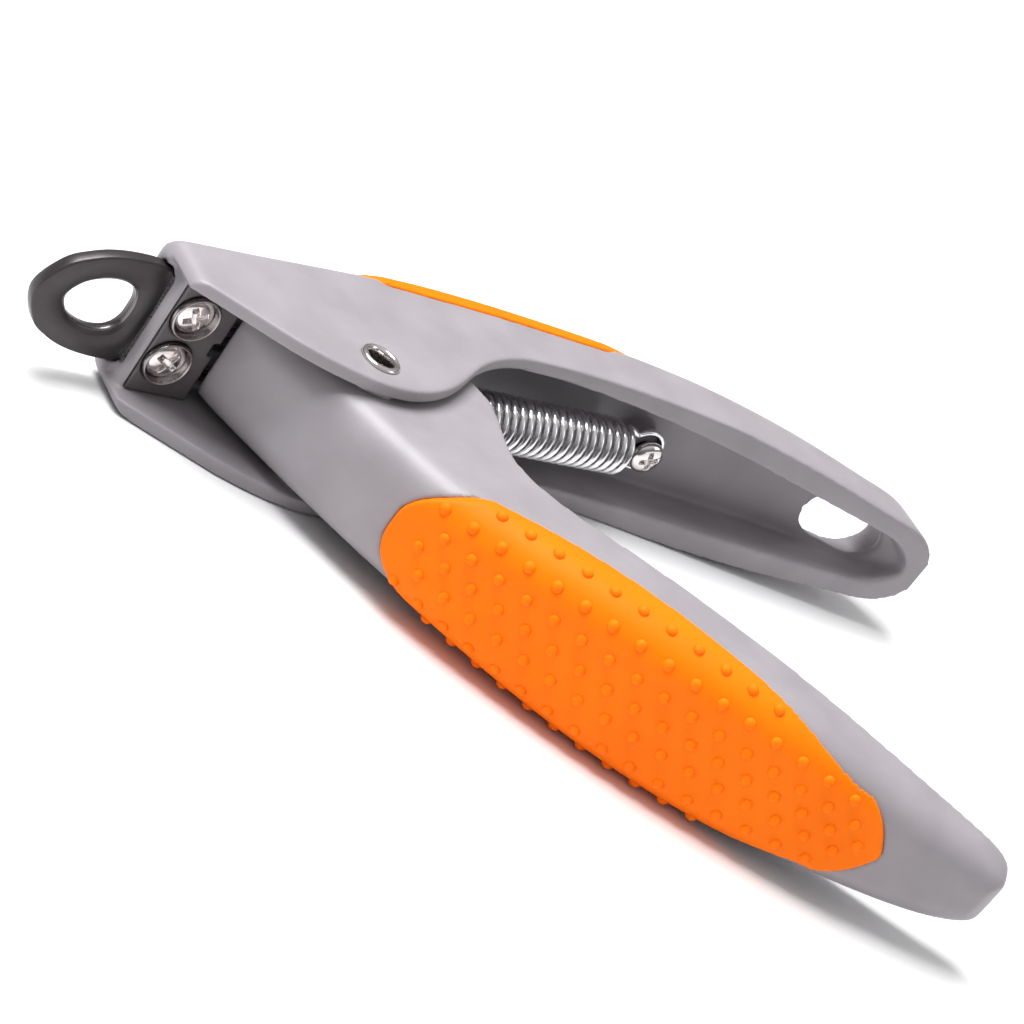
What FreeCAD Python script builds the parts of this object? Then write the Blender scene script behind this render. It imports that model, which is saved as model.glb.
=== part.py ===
import FreeCAD, Part
import math
import os

# Guillotine nail trimmer lying on its side.
#
# Working axes: the pivot pin's axis is the local origin, +X runs from the cutting ring towards the
# handles along the blade's slide, +Y points to the back of the fixed handle and +Z is up along the
# pivot pin. The trimmer rests on the outer face of its lower cheek, at Z = 0. The squeeze lever is
# drawn along its own length and then turned by its rest angle. Every sub-part's Placement moves the
# working origin to (pivot_x, pivot_y), so that the part's own origin is the centre of its footprint.

doc = FreeCAD.newDocument("NailTrimmer")
sheet = doc.addObject("Spreadsheet::Sheet", "Sizes")

SIZES = [
    ("pivot_x", -34.04, "pivot axis, from the centre of the footprint"),
    ("pivot_y", 26.35, "pivot axis, from the centre of the footprint"),
    ("head_width", 22.0, "outer width over the two cheeks"),
    ("recess_width", 18.0, "clear width between the cheeks"),
    ("back_fillet", 3.2, "rounding of the handles' back edges"),
    ("lever_fillet", 4.6, "rounding of the lever's back edges"),
    ("lever_angle", -44.0, "lever's direction at rest"),
    ("lever_width", 16.6, "width of the lever between the cheeks"),
    ("pivot_shank", 2.2, "radius of the pivot rivet's shank"),
    ("pivot_bore", 1.75, "radius of the hole through the rivet"),
    ("rivet_flange", 2.8, "radius of the rivet's rolled flange"),
    ("flange_height", 0.5, "height of the rolled flange above the cheek"),
    ("running_gap", 0.05, "radial clearance of the lever on the rivet"),
    ("washer_radius", 4.5, "outer radius of the thrust washers"),
    ("washer_thick", 0.6, "thickness of a thrust washer"),
    ("ring_face", 14.3, "Y of the ring plate's near face"),
    ("ring_thick", 1.8, "thickness of the ring plate"),
    ("blade_thick", 1.0, "thickness of the sliding blade"),
    ("slide_gap", 0.05, "clearance on each face of the blade"),
    ("blade_front", -23.3, "X of the cutting edge at rest"),
    ("blade_tail", 9.5, "X of the blade's rear end"),
    ("blade_half", 6.9, "half width of the blade"),
    ("keeper_face", 10.8, "Y of the keeper plate's outer face"),
    ("keeper_front", -22.85, "X of the keeper plate's front edge"),
    ("keeper_rear", -13.6, "X of the keeper plate's rear edge"),
    ("screw_x", -19.4, "X of the two keeper screws"),
    ("screw_gap", 7.3, "distance between the keeper screws"),
    ("screw_shank", 1.5, "radius of the keeper screws' shanks"),
    ("screw_head", 2.7, "radius of the keeper screws' heads"),
    ("counterbore", 3.3, "radius of the keeper's counterbores"),
    ("counter_depth", 1.7, "depth of the keeper's counterbores"),
    ("cup_radius", 3.25, "outer radius of the cup washers"),
    ("cup_wall", 0.4, "thickness of a cup washer's floor and wall"),
    ("cup_proud", 0.35, "how far a cup washer stands out of the keeper plate"),
    ("anchor_x", 59.9, "X of the spring's anchor screw"),
    ("anchor_seat", 9.9, "Y of the top of the anchor boss"),
    ("anchor_boss", 3.3, "radius of the anchor boss"),
    ("anchor_shank", 1.4, "radius of the anchor screw's shank"),
    ("anchor_tip", 14.2, "Y of the anchor screw's tip"),
    ("anchor_head", 2.6, "radius of the anchor screw's head"),
    ("spring_radius", 4.1, "outer radius of the return spring"),
    ("wire", 0.9, "diameter of the spring's wire"),
    ("pin_x", 9.0, "X of the lever's spring pin at rest"),
    ("pin_y", 8.0, "Y of the lever's spring pin at rest"),
    ("pin_radius", 1.1, "radius of the lever's spring pin"),
    ("finger_reach", 15.3, "radius swept by the tip of the drive finger"),
    ("finger_angle", 70.0, "direction of the drive finger at rest"),
    ("finger_thick", 3.0, "thickness of the drive finger"),
    ("finger_width", 5.0, "width of the drive finger across the trimmer"),
    ("hub_radius", 4.3, "radius of the lever's hub"),
    ("slot_centre", 96.25, "X of the hang slot's centre"),
    ("slot_length", 11.9, "length of the hang slot"),
    ("slot_width", 7.5, "width of the hang slot"),
    ("pocket_margin", 1.1, "how far the recess behind the hang slot reaches past it all round"),
    ("nose_round", 2.4, "rounding of the nose's corners"),
    ("grip_proud", 0.5, "how far a grip stands above its handle"),
    ("grip_sunk", 0.7, "how deep a grip is let into its handle"),
]
for row, (alias, value, note) in enumerate(SIZES, start=1):
    sheet.set(f"A{row}", note)
    sheet.set(f"B{row}", str(value))
    sheet.setAlias(f"B{row}", alias)
doc.recompute()
size = {alias: value for alias, value, note in SIZES}

MID = size["head_width"] / 2
FAR = 60.0
V = FreeCAD.Vector
X_AXIS, Y_AXIS, Z_AXIS = V(1, 0, 0), V(0, 1, 0), V(0, 0, 1)
SIDE = FreeCAD.Placement()
TOP = FreeCAD.Placement(V(0, 0, 0), FreeCAD.Rotation(X_AXIS, 90))
parts = {}


# ---------------------------------------------------------------- helpers

def bind(obj, **expressions):
    """Bind properties to the sheet; double underscores stand for dots in the property's path."""
    for path, text in expressions.items():
        obj.setExpression(path.replace("__", "."), text)


def outline(name, plane, runs):
    """A closed sketch from runs of points: ("line", ...), ("arc", a, mid, b), ("spline", ...),
    ("loop", ...), a spline closed on itself, or ("bend", ...), a spline that leaves along +X and
    comes back along -X."""
    sketch = doc.addObject("Sketcher::SketchObject", name)
    sketch.Placement = plane
    ends = []
    for kind, *points in runs:
        vectors = [V(px, py, 0) for px, py in points]
        if kind == "line":
            pieces = [Part.LineSegment(a, b) for a, b in zip(vectors, vectors[1:])]
        elif kind == "arc":
            pieces = [Part.Arc(*vectors)]
        else:
            curve = Part.BSplineCurve()
            if kind == "bend":
                curve.interpolate(Points=vectors, InitialTangent=X_AXIS, FinalTangent=-X_AXIS)
            elif kind == "loop":
                curve.interpolate(Points=vectors, PeriodicFlag=True)
            else:
                curve.interpolate(vectors)
            pieces = [curve]
        for piece in pieces:
            index = sketch.addGeometry(piece, False)
            ends.append((index, piece.StartPoint, piece.EndPoint))
    for (one, _, tip), (two, tail, _) in zip(ends, ends[1:] + ends[:1]):
        if (tip - tail).Length > 1e-6:
            raise ValueError(f"{name}: the outline is open at {tip} and {tail}")
    doc.recompute()
    return sketch


def stadium(name, plane, cx, cy, length, width):
    """A closed slot outline along the sketch's X axis."""
    half, r = length / 2, width / 2
    left, right = cx - half + r, cx + half - r
    return outline(name, plane, [
        ("line", (left, cy - r), (right, cy - r)),
        ("arc", (right, cy - r), (right + r, cy), (right, cy + r)),
        ("line", (right, cy + r), (left, cy + r)),
        ("arc", (left, cy + r), (left - r, cy), (left, cy - r)),
    ])


def extrude(name, sketch, low, high):
    """Extrude a sketch along its normal from low to high; either may be an expression."""
    solid = doc.addObject("Part::Extrusion", name)
    solid.Base = sketch
    solid.DirMode = "Normal"
    solid.Solid = True
    for prop, value in (("LengthFwd", high), ("LengthRev", f"-({low})")):
        if isinstance(value, str):
            solid.setExpression(prop, value)
        else:
            setattr(solid, prop, value)
    return solid


def cylinder(name, radius, low, high, axis, at):
    """A cylinder whose radius, ends and centre line are expressions of the sheet."""
    solid = doc.addObject("Part::Cylinder", name)
    bind(solid, Radius=radius, Height=f"({high}) - ({low})")
    if axis == "z":
        bind(solid, Placement__Base__x=at[0], Placement__Base__y=at[1], Placement__Base__z=low)
    else:
        solid.Placement = FreeCAD.Placement(V(0, 0, 0), FreeCAD.Rotation(X_AXIS, -90))
        bind(solid, Placement__Base__x=at[0], Placement__Base__y=low, Placement__Base__z=at[1])
    return solid


def box(name, lows, highs):
    """A box between two corners given as expressions."""
    solid = doc.addObject("Part::Box", name)
    for side, path, low, high in zip(("Length", "Width", "Height"), "xyz", lows, highs):
        solid.setExpression(side, f"({high}) - ({low})")
        solid.setExpression(f"Placement.Base.{path}", low)
    return solid


def common(name, *solids):
    result = doc.addObject("Part::MultiCommon", name)
    result.Shapes = list(solids)
    return result


def fuse(name, *solids):
    result = doc.addObject("Part::MultiFuse", name)
    result.Shapes = list(solids)
    return result


def cut(name, base, tool):
    result = doc.addObject("Part::Cut", name)
    result.Base = base
    result.Tool = tool
    doc.recompute()
    if result.Shape.Volume >= base.Shape.Volume - 1e-3:
        raise ValueError(f"{name}: the cut removed nothing")
    return result


def round_edges(name, base, radius, wanted):
    """Fillet the edges of base for which wanted(edge, midpoint) is true."""
    doc.recompute()
    picked = []
    for index, edge in enumerate(base.Shape.Edges, start=1):
        middle = edge.valueAt((edge.FirstParameter + edge.LastParameter) / 2)
        if wanted(edge, middle):
            picked.append((index, radius, radius))
    if not picked:
        raise ValueError(f"{name}: no edge to round")
    result = doc.addObject("Part::Fillet", name)
    result.Base = base
    result.Edges = picked
    doc.recompute()
    return result


def chamfer_edges(name, base, width, wanted):
    """Chamfer the round edges of base for which wanted(edge, midpoint) is true."""
    doc.recompute()
    result = doc.addObject("Part::Chamfer", name)
    result.Base = base
    result.Edges = [
        (index, width, width) for index, edge in enumerate(base.Shape.Edges, start=1)
        if edge.Closed and wanted(edge, edge.valueAt((edge.FirstParameter + edge.LastParameter) / 2))
    ]
    doc.recompute()
    return result


def finish(node, solid, turned=False):
    """Name a sub-part and place it: its label is the name of its file."""
    solid.Label = node
    if turned:
        solid.Placement = FreeCAD.Placement(V(0, 0, 0), FreeCAD.Rotation(Z_AXIS, 0))
        bind(solid, Placement__Rotation__Angle="Sizes.lever_angle * 1 deg")
    bind(solid, Placement__Base__x="Sizes.pivot_x", Placement__Base__y="Sizes.pivot_y")
    parts[node] = solid


def handle_loft(name, stations, towards, corner, grow):
    """The back and sides of a handle, lofted through flat stations (x, back, half width).

    towards is +1 when the back faces +Y and -1 when it faces -Y. The open side is left far away.
    """
    sections = []
    for number, (px, back, half) in enumerate(stations):
        edge_y = towards * (back + grow)
        low, high = MID - half - grow, MID + half + grow
        rounding = min(corner + grow, 0.8 * (half + grow))
        nip = rounding * (1 - math.sqrt(0.5))
        inner_y, open_y = edge_y - towards * rounding, -towards * 25.0
        sketch = outline(f"{name}Section{number}", SIDE, [
            ("line", (open_y, low), (inner_y, low)),
            ("arc", (inner_y, low), (edge_y - towards * nip, low + nip), (edge_y, low + rounding)),
            ("line", (edge_y, low + rounding), (edge_y, high - rounding)),
            ("arc", (edge_y, high - rounding), (edge_y - towards * nip, high - nip),
             (inner_y, high)),
            ("line", (inner_y, high), (open_y, high), (open_y, low)),
        ])
        sketch.Placement = FreeCAD.Placement(V(px, 0, 0), FreeCAD.Rotation(V(1, 1, 1), 120))
        sections.append(sketch)
    loft = doc.addObject("Part::Loft", name)
    loft.Sections = sections
    loft.Solid = True
    loft.Ruled = False
    return loft


def mirrored(points):
    """The other half of a top outline: the same points at the same distance below mid height."""
    return [(px, 2 * MID - pz) for px, pz in reversed(points)]


# ---------------------------------------------------------------- fixed handle

NOSE_X = -24.7
HANDLE_END = 107.4
FRAME_STATIONS = [(-26, 17.2, 11.4), (-12, 18.4, 11.4), (2, 19.7, 11.4), (14, 20.4, 11.4),
                  (26, 20.2, 11.4), (38, 19.2, 11.4), (50, 17.7, 11.4), (62, 15.6, 11.2),
                  (72, 13.3, 10.7), (82, 10.7, 9.8), (91, 8.2, 8.6), (98, 6.1, 7.6),
                  (102.2, 4.6, 6.9), (105.0, 3.3, 5.5), (106.5, 2.5, 4.0), (107.3, 2.1, 2.5),
                  (107.7, 1.9, 1.0)]
FRAME_RIM = [(107.2, -6.8), (96, -3.9), (78, 0.9), (60, 5.6), (45, 8.1), (32, 8.6)]
CORE_END = 104.4
CORE_TOP = [(20, 20.0), (54, 19.0), (70, 18.1), (84, 16.8), (96, 15.6), (101.6, 14.2),
            (CORE_END, MID)]


def frame_block(prefix, grow):
    """The fixed handle's outer form before it is hollowed, with its back grown by a small amount."""
    loft = handle_loft(prefix + "Loft", FRAME_STATIONS, 1, size["back_fillet"], grow)
    side = outline(prefix + "Side", SIDE, [
        ("line", (NOSE_X, 8.7), (NOSE_X, 26), (98, 26)),
        ("spline", (98, 26), (99.6, 10.5), (102.8, 5.6), (105.6, 1.4), (HANDLE_END, -2.8),
         FRAME_RIM[0]),
        ("spline", *FRAME_RIM),
        ("spline", FRAME_RIM[-1], (26, 7.5), (19.0, 3.9), (14.5, 0.2), (9.8, -3.0), (1.2, -5.3),
         (-7.2, -3.2), (-12.8, -0.2)),
        ("line", (-12.8, -0.2), (NOSE_X, 8.7)),
    ])
    cheek_grow = min(grow, 0.0)
    slab = extrude(prefix + "SideSolid", side, -cheek_grow, f"Sizes.head_width + {cheek_grow}")
    return common(prefix + "Form", loft, slab)


def frame_core():
    """The channel, recess and blade way that are taken out of the fixed handle."""
    side = outline("CoreSide", SIDE, [
        ("line", (-22.85, -14), (-22.85, 13.25), (-13.0, 13.25), (-13.0, 14.3), (4, 14.3),
         (7.5, 17.6)),
        ("spline", (7.5, 17.6), (20, 18.1), (36, 17.0), (52, 14.9), (70, 11.0), (86, 6.3),
         (96, 2.3), (101.6, -0.8), (CORE_END, -4.0)),
        ("line", (CORE_END, -4.0), (CORE_END, -14), (-22.85, -14)),
    ])
    top = outline("CoreTop", TOP, [
        ("line", (-40, CORE_TOP[0][1]), CORE_TOP[0]),
        ("bend", *CORE_TOP, *mirrored(CORE_TOP)[1:]),
        ("line", mirrored(CORE_TOP)[-1], (-40, 2 * MID - CORE_TOP[0][1]), (-40, CORE_TOP[0][1])),
    ])
    return common("Core", extrude("CoreSideSolid", side, -5, 30),
                  extrude("CoreTopSolid", top, -FAR, FAR))


def saddle(name, runs, top_runs):
    """The region a grip covers: a lens seen from the side and an oval seen from the back."""
    side = outline(name + "Side", SIDE, runs)
    top = outline(name + "Top", TOP, top_runs)
    return common(name, extrude(name + "SideSolid", side, -5, 30),
                  extrude(name + "TopSolid", top, -FAR, FAR))


def hang_pocket():
    """The recess in the fixed handle's back that leaves a thin web round the hang slot."""
    margin = size["pocket_margin"]
    web_side = outline("PocketSide", SIDE, [
        ("line", (86, 7.6), (96, 3.5), (104, -1.0), (104, 20), (86, 20), (86, 7.6)),
    ])
    plan = stadium("PocketPlan", TOP, size["slot_centre"], MID, size["slot_length"] + 2 * margin,
                   size["slot_width"] + 2 * margin)
    return common("HangPocket", extrude("PocketSideSolid", web_side, -5, 30),
                  extrude("PocketPlanSolid", plan, -FAR, FAR))


def nose_corner(name, cheek, inwards):
    """The sliver outside a rounded corner of the nose, at the cheek whose outer face is given."""
    r = size["nose_round"]
    nip = r * (1 - math.sqrt(0.5))
    return extrude(name, outline(name + "Outline", TOP, [
        ("line", (-27, cheek - inwards), (NOSE_X + r, cheek - inwards), (NOSE_X + r, cheek)),
        ("arc", (NOSE_X + r, cheek), (NOSE_X + nip, cheek + inwards * nip),
         (NOSE_X, cheek + inwards * r)),
        ("line", (NOSE_X, cheek + inwards * r), (-27, cheek + inwards * r), (-27, cheek - inwards)),
    ]), -FAR, FAR)


def make_frame():
    form = frame_block("Frame", 0.0)
    grip_outer = frame_block("FrameGripOuter", size["grip_proud"])
    grip_inner = frame_block("FrameGripInner", -size["grip_sunk"])
    lens = saddle("FrameSaddle", [
        ("line", (-3, 30), (-3, 19.1)),
        ("spline", (-3, 19.1), (12, 17.8), (28, 17.2), (45, 15.8), (58, 15.0), (68, 14.6)),
        ("line", (68, 14.6), (68, 30), (-3, 30)),
    ], [
        ("spline", (-5, MID), (-1.5, MID + 6), (9, MID + 10.8), (30, MID + 13), (50, MID + 10.8),
         (65, MID + 6), (69.5, MID)),
        ("spline", (69.5, MID), (65, MID - 6), (50, MID - 10.8), (30, MID - 13), (9, MID - 10.8),
         (-1.5, MID - 6), (-5, MID)),
    ])
    skin = cut("FrameSkin", grip_outer, grip_inner)
    grip_seat = common("FrameGripSeat", skin, lens)
    finish("frame_grip", common("FrameGrip", skin, lens))

    boss = cylinder("AnchorBoss", "Sizes.anchor_boss", "Sizes.anchor_seat", "15", "y",
                    ("Sizes.anchor_x", "Sizes.head_width / 2"))
    boss_hole = cylinder("AnchorHole", "Sizes.anchor_shank", "Sizes.anchor_seat - 1",
                         "Sizes.anchor_tip + 0.3", "y", ("Sizes.anchor_x", "Sizes.head_width / 2"))
    slot = extrude("HangSlot", stadium("HangSlotOutline", TOP, size["slot_centre"], MID,
                                       size["slot_length"], size["slot_width"]), -FAR, FAR)
    pocket = hang_pocket()
    corners = [nose_corner("NoseCornerLower", 0, 1), nose_corner("NoseCornerUpper", 2 * MID, -1)]
    bore = cylinder("CheekBore", "Sizes.pivot_shank", "-5", "30", "z", ("0", "0"))
    lower_seat = cylinder("LowerFlangeSeat", "Sizes.rivet_flange + 0.1", "-1",
                          "Sizes.flange_height + 0.15", "z", ("0", "0"))
    ring_way = box("RingWay", ("-40", "Sizes.ring_face", "Sizes.head_width / 2 - 7.85"),
                   ("Sizes.keeper_rear", "Sizes.ring_face + Sizes.ring_thick",
                    "Sizes.head_width / 2 + 7.85"))
    blade_way = box("BladeWay",
                    ("-40", "Sizes.ring_face - Sizes.blade_thick - 2 * Sizes.slide_gap",
                     "Sizes.head_width / 2 - Sizes.blade_half - 0.1"),
                    ("Sizes.keeper_rear + 1", "Sizes.ring_face",
                     "Sizes.head_width / 2 + Sizes.blade_half + 0.1"))
    finger_way = box("FingerWay", ("-6.5", "13", "Sizes.head_width / 2 - 3.2"),
                     ("6.5", "16.2", "Sizes.head_width / 2 + 3.2"))
    nose_trim = extrude("NoseTrim", outline("NoseTrimOutline", SIDE, [
        ("line", (-30, -14), (-22.5, -14), (-22.5, 10.8), (-23.0, 10.8), (-23.5, 11.3),
         (-23.5, 14.3), (-30, 14.3), (-30, -14)),
    ]), "Sizes.head_width / 2 - Sizes.recess_width / 2",
        "Sizes.head_width / 2 + Sizes.recess_width / 2")
    screw_holes = [cylinder(f"WebHole{side}", "Sizes.screw_shank", "Sizes.ring_face",
                            "Sizes.ring_face + 3.1", "y",
                            ("Sizes.screw_x", f"Sizes.head_width / 2 {side_sign} Sizes.screw_gap / 2"))
                   for side, side_sign in (("Upper", "+"), ("Lower", "-"))]
    hollow = fuse("FrameHollow", frame_core(), slot, pocket, *corners, bore, lower_seat, ring_way,
                  blade_way, finger_way, nose_trim, *screw_holes)
    shell = cut("FrameShell", form, hollow)
    with_boss = fuse("FrameBossed", shell, boss)
    drilled = cut("FrameDrilled", with_boss, boss_hole)
    finish("frame_handle", cut("FrameHandle", drilled, grip_seat))


# ---------------------------------------------------------------- cutting head

def make_ring():
    """The fixed ring plate with its nail opening and its two tapped screw holes."""
    rim = [(-21.8, 7.1), (-25.8, 7.8), (-30.6, 7.5), (-34.2, 6.4), (-37.3, 4.4), (-39.5, 0),
           (-37.3, -4.4), (-34.2, -6.4), (-30.6, -7.5), (-25.8, -7.8), (-21.8, -7.1)]
    plate = extrude("RingPlate", outline("RingOutline", TOP, [
        ("line", (-13.8, MID + 7.1), (-21.8, MID + 7.1)),
        ("spline", *[(px, MID + pz) for px, pz in rim]),
        ("line", (-21.8, MID - 7.1), (-13.8, MID - 7.1), (-13.8, MID + 7.1)),
    ]), "-(Sizes.ring_face + Sizes.ring_thick)", "-Sizes.ring_face")
    opening = [(-34.7, 0), (-33.6, 2.1), (-31.6, 3.3), (-29.2, 3.8), (-27.0, 3.4), (-25.8, 2.1),
               (-25.4, 0), (-25.8, -2.1), (-27.0, -3.4), (-29.2, -3.8), (-31.6, -3.3),
               (-33.6, -2.1)]
    curve = [(px, MID + pz) for px, pz in opening]
    hole = extrude("RingOpening", outline("RingOpeningOutline", TOP, [("loop", *curve)]), -FAR, FAR)
    screws = [cylinder(f"RingTap{side}", "Sizes.screw_shank", "Sizes.ring_face - 2",
                       "Sizes.ring_face + 6", "y",
                       ("Sizes.screw_x", f"Sizes.head_width / 2 {sign} Sizes.screw_gap / 2"))
              for side, sign in (("Upper", "+"), ("Lower", "-"))]
    blank = cut("RingBlank", plate, fuse("RingHoles", hole, *screws))

    def opening_lip(edge, middle):
        near = abs(middle.y - size["ring_face"]) < 0.01
        return near and -36 < middle.x < -23 and abs(middle.z - MID) < 4.2

    finish("cutting_ring", chamfer_edges("RingLip", blank, 0.6, opening_lip))


def make_blade():
    """The sliding blade: a plate with a bevelled front edge, two guide slots and a drive slot."""
    front, tail, half = size["blade_front"], size["blade_tail"], size["blade_half"]
    low = "-(Sizes.ring_face - Sizes.slide_gap)"
    high = "-(Sizes.ring_face - Sizes.slide_gap - Sizes.blade_thick)"
    plate = extrude("BladePlate", outline("BladeOutline", TOP, [
        ("arc", (front, MID + half), (front + 0.5, MID), (front, MID - half)),
        ("line", (front, MID - half), (-4, MID - half), (-1, MID - 5), (tail, MID - 5),
         (tail, MID + 5), (-1, MID + 5), (-4, MID + half), (front, MID + half)),
    ]), low, high)
    stroke = 10.2
    guide_radius = size["screw_shank"] + 0.1
    guides = []
    for side, sign in (("Upper", 1), ("Lower", -1)):
        mid_x = size["screw_x"] + stroke / 2
        slot = stadium(f"Guide{side}", TOP, mid_x, MID + sign * size["screw_gap"] / 2,
                       stroke + 2 * guide_radius, 2 * guide_radius)
        guides.append(extrude(f"GuideCut{side}", slot, -FAR, FAR))
    contact = size["ring_face"] - size["slide_gap"] - size["blade_thick"] / 2
    finger_x = contact / math.tan(math.radians(size["finger_angle"]))
    reach = size["finger_thick"] / 2 / math.cos(math.radians(20)) + 0.55
    drive = box("DriveSlot", (str(finger_x - reach), "10", "Sizes.head_width / 2 - 2.8"),
                (str(finger_x + reach), "20", "Sizes.head_width / 2 + 2.8"))
    finish("cutter_blade", cut("CutterBlade", plate, fuse("BladeHoles", *guides, drive)))


def make_keeper():
    """The keeper plate that holds the blade down, with a counterbore for each screw."""
    plate = box("KeeperPlate",
                ("Sizes.keeper_front + 0.05", "Sizes.keeper_face",
                 "(Sizes.head_width - Sizes.recess_width) / 2 + 0.1"),
                ("Sizes.keeper_rear", "Sizes.ring_face - Sizes.blade_thick - 2 * Sizes.slide_gap",
                 "(Sizes.head_width + Sizes.recess_width) / 2 - 0.1"))
    holes = [box("KeeperNotch", ("Sizes.keeper_rear - 0.9", "8", "Sizes.head_width / 2 - 1.5"),
                 ("Sizes.keeper_rear + 1", "16", "Sizes.head_width / 2 + 0.6"))]
    for side, sign in (("Upper", "+"), ("Lower", "-")):
        at = ("Sizes.screw_x", f"Sizes.head_width / 2 {sign} Sizes.screw_gap / 2")
        holes.append(cylinder(f"Counterbore{side}", "Sizes.counterbore", "Sizes.keeper_face - 1",
                              "Sizes.keeper_face + Sizes.counter_depth", "y", at))
        holes.append(cylinder(f"KeeperHole{side}", "Sizes.screw_shank + 0.15", "Sizes.keeper_face",
                              "Sizes.ring_face", "y", at))
    finish("blade_keeper", cut("BladeKeeper", plate, fuse("KeeperHoles", *holes)))


def make_cups():
    """The two cup washers that line the counterbores and stand as bright rings round the screws."""
    for side, sign in (("upper", "+"), ("lower", "-")):
        at = ("Sizes.screw_x", f"Sizes.head_width / 2 {sign} Sizes.screw_gap / 2")
        prefix = "Cup" + side.title()
        blank = cylinder(prefix + "Blank", "Sizes.cup_radius", "Sizes.keeper_face - Sizes.cup_proud",
                         "Sizes.keeper_face + Sizes.counter_depth", "y", at)
        inside = cylinder(prefix + "Inside", "Sizes.cup_radius - Sizes.cup_wall", "Sizes.keeper_face - 2",
                          "Sizes.keeper_face + Sizes.counter_depth - Sizes.cup_wall", "y", at)
        hole = cylinder(prefix + "Hole", "Sizes.screw_shank + 0.15", "Sizes.keeper_face",
                        "Sizes.ring_face", "y", at)
        finish(f"cup_washer_{side}", cut(prefix + "Washer", blank, fuse(prefix + "Hollow", inside, hole)))


def pan_screw(node, prefix, at, seat, tip, shank, head, head_height):
    """A cross-recess pan screw along Y: its head is towards -Y from the seat, its tip towards +Y."""
    body = fuse(prefix + "Blank",
                cylinder(prefix + "Shank", shank, seat, tip, "y", at),
                cylinder(prefix + "Head", head, f"({seat}) - {head_height}", seat, "y", at))
    top_y = f"({seat}) - {head_height}"

    def crown(edge, middle):
        return abs(middle.y - body.Shape.BoundBox.YMin) < 0.01

    domed = round_edges(prefix + "Domed", body, head_height * 0.6, crown)
    bars = []
    for tag, long_x, long_z in (("A", 0.45 * 2.6, 0.3), ("B", 0.3, 0.45 * 2.6)):
        bars.append(box(f"{prefix}Recess{tag}",
                        (f"{at[0]} - {long_x}", f"{top_y} - 1", f"{at[1]} - {long_z}"),
                        (f"{at[0]} + {long_x}", f"{top_y} + 0.9", f"{at[1]} + {long_z}")))
    finish(node, cut(prefix + "Screw", domed, fuse(prefix + "Recess", *bars)))


def make_screws():
    for side, sign in (("upper", "+"), ("lower", "-")):
        at = ("Sizes.screw_x", f"(Sizes.head_width / 2 {sign} Sizes.screw_gap / 2)")
        pan_screw(f"keeper_screw_{side}", f"Keeper{side.title()}", at,
                  "Sizes.keeper_face + Sizes.counter_depth - Sizes.cup_wall", "Sizes.ring_face + 3.0",
                  "Sizes.screw_shank", "Sizes.screw_head", 1.7)
    pan_screw("spring_screw", "Anchor", ("Sizes.anchor_x", "(Sizes.head_width / 2)"),
              "Sizes.anchor_seat - 1.0", "Sizes.anchor_tip", "Sizes.anchor_shank", "Sizes.anchor_head", 1.6)


# ---------------------------------------------------------------- pivot

def make_pivot():
    """The hollow rivet that the lever turns on, and the two thrust washers beside the lever."""
    shank = cylinder("RivetShank", "Sizes.pivot_shank", "0.1", "Sizes.head_width", "z", ("0", "0"))
    lower = cylinder("RivetLower", "Sizes.rivet_flange", "0.1", "Sizes.flange_height + 0.15", "z",
                     ("0", "0"))
    upper = cylinder("RivetUpper", "Sizes.rivet_flange", "Sizes.head_width",
                     "Sizes.head_width + Sizes.flange_height", "z", ("0", "0"))
    blank = fuse("RivetBlank", shank, lower, upper)

    def flange_rim(edge, middle):
        return abs(middle.z - size["head_width"] - size["flange_height"]) < 0.01

    rolled = round_edges("RivetRolled", blank, 0.4, flange_rim)
    bore = cylinder("RivetBore", "Sizes.pivot_bore", "-1", "Sizes.head_width + 5", "z", ("0", "0"))
    finish("pivot_rivet", cut("PivotRivet", rolled, bore))

    wall = (size["head_width"] - size["recess_width"]) / 2
    for side, low in (("lower", wall + size["slide_gap"]),
                      ("upper", size["head_width"] - wall - size["slide_gap"] - size["washer_thick"])):
        disc = cylinder(f"Washer{side.title()}", "Sizes.washer_radius", str(low),
                        f"{low} + Sizes.washer_thick", "z", ("0", "0"))
        hole = cylinder(f"WasherHole{side.title()}", "Sizes.pivot_shank + Sizes.running_gap",
                        str(low - 1), str(low + 2), "z", ("0", "0"))
        finish(f"thrust_washer_{side}", cut(f"ThrustWasher{side.title()}", disc, hole))


# ---------------------------------------------------------------- squeeze lever

LEVER_STATIONS = [(-18, 1.2, 8.3), (-11.8, 4.4, 8.3), (-4, 7.2, 8.3), (9, 11.4, 8.3),
                  (20, 13.9, 8.5), (30, 14.9, 9.2), (42, 15.4, 9.9), (54, 15.0, 10.2),
                  (65, 13.8, 10.0), (75, 12.2, 9.3), (84, 10.5, 8.3), (91, 8.8, 7.4),
                  (96, 7.2, 6.6), (99.6, 5.8, 5.6), (101.6, 4.7, 4.1), (102.3, 4.1, 2.4),
                  (102.5, 3.9, 1.2)]
LEVER_RIM = [(102.3, 0.0), (96, -0.9), (80, -1.7), (60, -1.3), (40, -0.3), (28.5, 0.8),
             (22.0, 3.6), (17.2, 10.4), (14.0, 14.8), (10.5, 16.6)]
LEVER_TOP = [(16, 8.3), (30, 9.2), (45, 10.0), (60, 10.2), (71, 9.6), (82, 8.4), (92, 6.9),
             (98, 5.6), (101.4, 3.6), (102.6, 0)]
WALL = 2.1


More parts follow.
